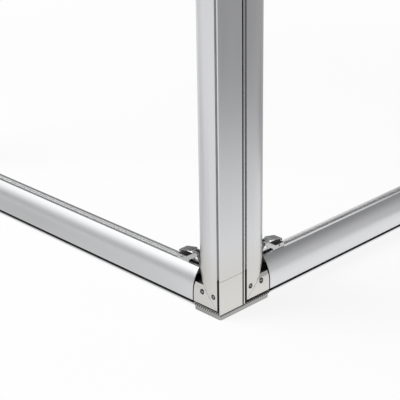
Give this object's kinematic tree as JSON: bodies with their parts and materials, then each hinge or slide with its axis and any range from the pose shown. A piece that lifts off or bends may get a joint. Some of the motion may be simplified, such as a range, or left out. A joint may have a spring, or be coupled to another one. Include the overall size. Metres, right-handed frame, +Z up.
{
  "type": "trade show wall",
  "caption": "L-shaped free-standing wall of two open metal fabric frames, butt-jointed at a corner, with toggle latches at every frame corner.",
  "frame": {"origin": "on the floor, in the middle of the wall's footprint box", "axes": "+Z up, the longest extent; the right frame runs along +X from the corner, the left frame along +Y"},
  "size_m": [1.053, 1, 2.0136],
  "materials": {
    "profile": "satin anodised extrusion",
    "corner_metal": "satin cast and machined",
    "core_plastic": "matt black moulding",
    "latch_cast": "bright plated",
    "latch_sheet": "grey plated sheet",
    "plate_metal": "grey satin plate",
    "screw_steel": "zinc-plated screws"
  },
  "bodies": {
    "wall": {"left_corner_upright": "profile", "left_end_upright": "profile", "left_bottom_rail": "profile", "left_top_rail": "profile", "left_corner_cheeks": "corner_metal", "left_foot_plate": "plate_metal", "right_corner_upright": "profile", "right_end_upright": "profile", "right_bottom_rail": "profile", "right_top_rail": "profile", "right_corner_cheeks": "corner_metal", "right_foot_plate": "plate_metal", "left_bottom_corner_cap": "corner_metal", "left_bottom_corner_core": "core_plastic", "left_bottom_corner_latch_base": "latch_cast", "left_bottom_end_cap": "corner_metal", "left_bottom_end_core": "core_plastic", "left_bottom_end_latch_base": "latch_cast", "left_top_corner_cap": "corner_metal", "left_top_corner_core": "core_plastic", "left_top_corner_latch_base": "latch_cast", "left_top_end_cap": "corner_metal", "left_top_end_core": "core_plastic", "left_top_end_latch_base": "latch_cast", "right_bottom_corner_cap": "corner_metal", "right_bottom_corner_core": "core_plastic", "right_bottom_corner_latch_base": "latch_cast", "right_bottom_end_cap": "corner_metal", "right_bottom_end_core": "core_plastic", "right_bottom_end_latch_base": "latch_cast", "right_top_corner_cap": "corner_metal", "right_top_corner_core": "core_plastic", "right_top_corner_latch_base": "latch_cast", "right_top_end_cap": "corner_metal", "right_top_end_core": "core_plastic", "right_top_end_latch_base": "latch_cast", "corner_floor_plate": "plate_metal", "corner_top_plate": "plate_metal", "corner_soles": "core_plastic", "corner_screws": "screw_steel", "plate_screws": "screw_steel", "latch_keepers": "latch_sheet", "latch_pivot_pins": "latch_cast", "latch_base_screws": "latch_cast"},
    "left_bottom_corner_lever": {"left_bottom_corner_latch_lever": "latch_sheet"},
    "left_bottom_corner_hook": {"left_bottom_corner_latch_hook": "latch_sheet"},
    "left_bottom_end_lever": {"left_bottom_end_latch_lever": "latch_sheet"},
    "left_bottom_end_hook": {"left_bottom_end_latch_hook": "latch_sheet"},
    "left_top_corner_lever": {"left_top_corner_latch_lever": "latch_sheet"},
    "left_top_corner_hook": {"left_top_corner_latch_hook": "latch_sheet"},
    "left_top_end_lever": {"left_top_end_latch_lever": "latch_sheet"},
    "left_top_end_hook": {"left_top_end_latch_hook": "latch_sheet"},
    "right_bottom_corner_lever": {"right_bottom_corner_latch_lever": "latch_sheet"},
    "right_bottom_corner_hook": {"right_bottom_corner_latch_hook": "latch_sheet"},
    "right_bottom_end_lever": {"right_bottom_end_latch_lever": "latch_sheet"},
    "right_bottom_end_hook": {"right_bottom_end_latch_hook": "latch_sheet"},
    "right_top_corner_lever": {"right_top_corner_latch_lever": "latch_sheet"},
    "right_top_corner_hook": {"right_top_corner_latch_hook": "latch_sheet"},
    "right_top_end_lever": {"right_top_end_latch_lever": "latch_sheet"},
    "right_top_end_hook": {"right_top_end_latch_hook": "latch_sheet"}
  },
  "joints": [
    {"name": "left_bottom_corner_lever_swing", "type": "hinge", "parent": "wall", "child": "left_bottom_corner_lever", "pos_m": [-0.5015, -0.4278, 0.085], "axis": [1, 0, 0], "range_deg": [0, 100]},
    {"name": "left_bottom_corner_hook_swing", "type": "hinge", "parent": "left_bottom_corner_lever", "child": "left_bottom_corner_hook", "pos_m": [-0.5015, -0.4205, 0.0866], "axis": [1, 0, 0], "range_deg": [-100, 0]},
    {"name": "left_bottom_end_lever_swing", "type": "hinge", "parent": "wall", "child": "left_bottom_end_lever", "pos_m": [-0.5015, 0.4278, 0.085], "axis": [-1, 0, 0], "range_deg": [0, 100]},
    {"name": "left_bottom_end_hook_swing", "type": "hinge", "parent": "left_bottom_end_lever", "child": "left_bottom_end_hook", "pos_m": [-0.5015, 0.4205, 0.0866], "axis": [-1, 0, 0], "range_deg": [-100, 0]},
    {"name": "left_top_corner_lever_swing", "type": "hinge", "parent": "wall", "child": "left_top_corner_lever", "pos_m": [-0.5015, -0.4278, 1.9286], "axis": [-1, 0, 0], "range_deg": [0, 100]},
    {"name": "left_top_corner_hook_swing", "type": "hinge", "parent": "left_top_corner_lever", "child": "left_top_corner_hook", "pos_m": [-0.5015, -0.4205, 1.927], "axis": [-1, 0, 0], "range_deg": [-100, 0]},
    {"name": "left_top_end_lever_swing", "type": "hinge", "parent": "wall", "child": "left_top_end_lever", "pos_m": [-0.5015, 0.4278, 1.9286], "axis": [1, 0, 0], "range_deg": [0, 100]},
    {"name": "left_top_end_hook_swing", "type": "hinge", "parent": "left_top_end_lever", "child": "left_top_end_hook", "pos_m": [-0.5015, 0.4205, 1.927], "axis": [1, 0, 0], "range_deg": [-100, 0]},
    {"name": "right_bottom_corner_lever_swing", "type": "hinge", "parent": "wall", "child": "right_bottom_corner_lever", "pos_m": [-0.4013, -0.475, 0.085], "axis": [0, -1, 0], "range_deg": [0, 100]},
    {"name": "right_bottom_corner_hook_swing", "type": "hinge", "parent": "right_bottom_corner_lever", "child": "right_bottom_corner_hook", "pos_m": [-0.394, -0.475, 0.0866], "axis": [0, -1, 0], "range_deg": [-100, 0]},
    {"name": "right_bottom_end_lever_swing", "type": "hinge", "parent": "wall", "child": "right_bottom_end_lever", "pos_m": [0.4543, -0.475, 0.085], "axis": [0, 1, 0], "range_deg": [0, 100]},
    {"name": "right_bottom_end_hook_swing", "type": "hinge", "parent": "right_bottom_end_lever", "child": "right_bottom_end_hook", "pos_m": [0.447, -0.475, 0.0866], "axis": [0, 1, 0], "range_deg": [-100, 0]},
    {"name": "right_top_corner_lever_swing", "type": "hinge", "parent": "wall", "child": "right_top_corner_lever", "pos_m": [-0.4013, -0.475, 1.9286], "axis": [0, 1, 0], "range_deg": [0, 100]},
    {"name": "right_top_corner_hook_swing", "type": "hinge", "parent": "right_top_corner_lever", "child": "right_top_corner_hook", "pos_m": [-0.394, -0.475, 1.927], "axis": [0, 1, 0], "range_deg": [-100, 0]},
    {"name": "right_top_end_lever_swing", "type": "hinge", "parent": "wall", "child": "right_top_end_lever", "pos_m": [0.4543, -0.475, 1.9286], "axis": [0, -1, 0], "range_deg": [0, 100]},
    {"name": "right_top_end_hook_swing", "type": "hinge", "parent": "right_top_end_lever", "child": "right_top_end_hook", "pos_m": [0.447, -0.475, 1.927], "axis": [0, -1, 0], "range_deg": [-100, 0]}
  ],
  "couplings": [
    {"joint": "left_bottom_corner_hook_swing", "follows": "left_bottom_corner_lever_swing", "ratio": -1},
    {"joint": "left_bottom_end_hook_swing", "follows": "left_bottom_end_lever_swing", "ratio": -1},
    {"joint": "left_top_corner_hook_swing", "follows": "left_top_corner_lever_swing", "ratio": -1},
    {"joint": "left_top_end_hook_swing", "follows": "left_top_end_lever_swing", "ratio": -1},
    {"joint": "right_bottom_corner_hook_swing", "follows": "right_bottom_corner_lever_swing", "ratio": -1},
    {"joint": "right_bottom_end_hook_swing", "follows": "right_bottom_end_lever_swing", "ratio": -1},
    {"joint": "right_top_corner_hook_swing", "follows": "right_top_corner_lever_swing", "ratio": -1},
    {"joint": "right_top_end_hook_swing", "follows": "right_top_end_lever_swing", "ratio": -1}
  ]
}
